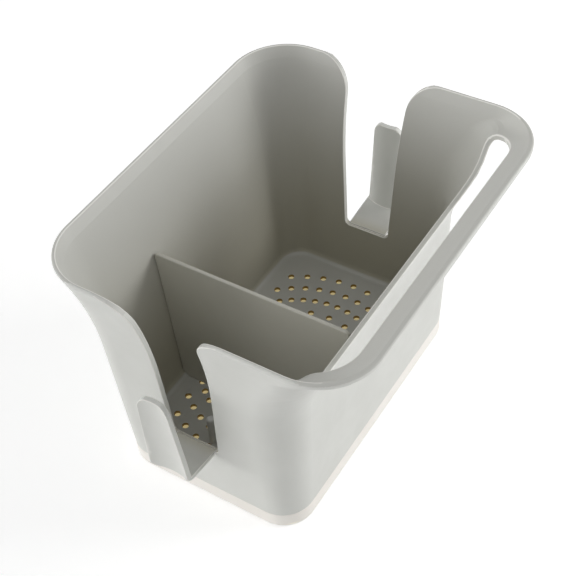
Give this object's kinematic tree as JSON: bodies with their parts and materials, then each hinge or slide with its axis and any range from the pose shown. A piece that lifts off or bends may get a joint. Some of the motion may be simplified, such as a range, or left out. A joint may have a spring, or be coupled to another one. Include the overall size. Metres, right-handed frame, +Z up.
{
  "type": "kitchen sink caddy",
  "caption": "Open bin with a perforated floor, flared rim, end hooks and a front cloth bar, with a lift-out divider, standing on a drip tray",
  "frame": {"origin": "on the surface the caddy stands on, under the middle of the whole caddy's box", "axes": "+X along the caddy towards the end away from the small compartment, +Y towards the tall back wall, +Z up"},
  "size_m": [0.2212, 0.165, 0.1473],
  "materials": {
    "bin_plastic": "satin warm grey moulded plastic",
    "divider_plastic": "satin warm grey moulded plastic",
    "tray_plastic": "satin ivory moulded plastic",
    "peg_plastic": "satin grey moulded plastic",
    "pad_rubber": "matt soft rubber"
  },
  "bodies": {
    "tray": {"drip_tray": "tray_plastic", "tray_pad_1": "pad_rubber", "tray_pad_2": "pad_rubber", "tray_pad_3": "pad_rubber", "tray_pad_4": "pad_rubber"},
    "bin": {"bin": "bin_plastic", "floor_peg": "peg_plastic"},
    "divider": {"divider": "divider_plastic"}
  },
  "joints": [
    {"name": "bin_lift", "type": "slide", "parent": "tray", "child": "bin", "axis": [0, 0, 1], "range_m": [0, 0.05]},
    {"name": "divider_lift", "type": "slide", "parent": "bin", "child": "divider", "axis": [0, 0, 1], "range_m": [0, 0.15]}
  ]
}
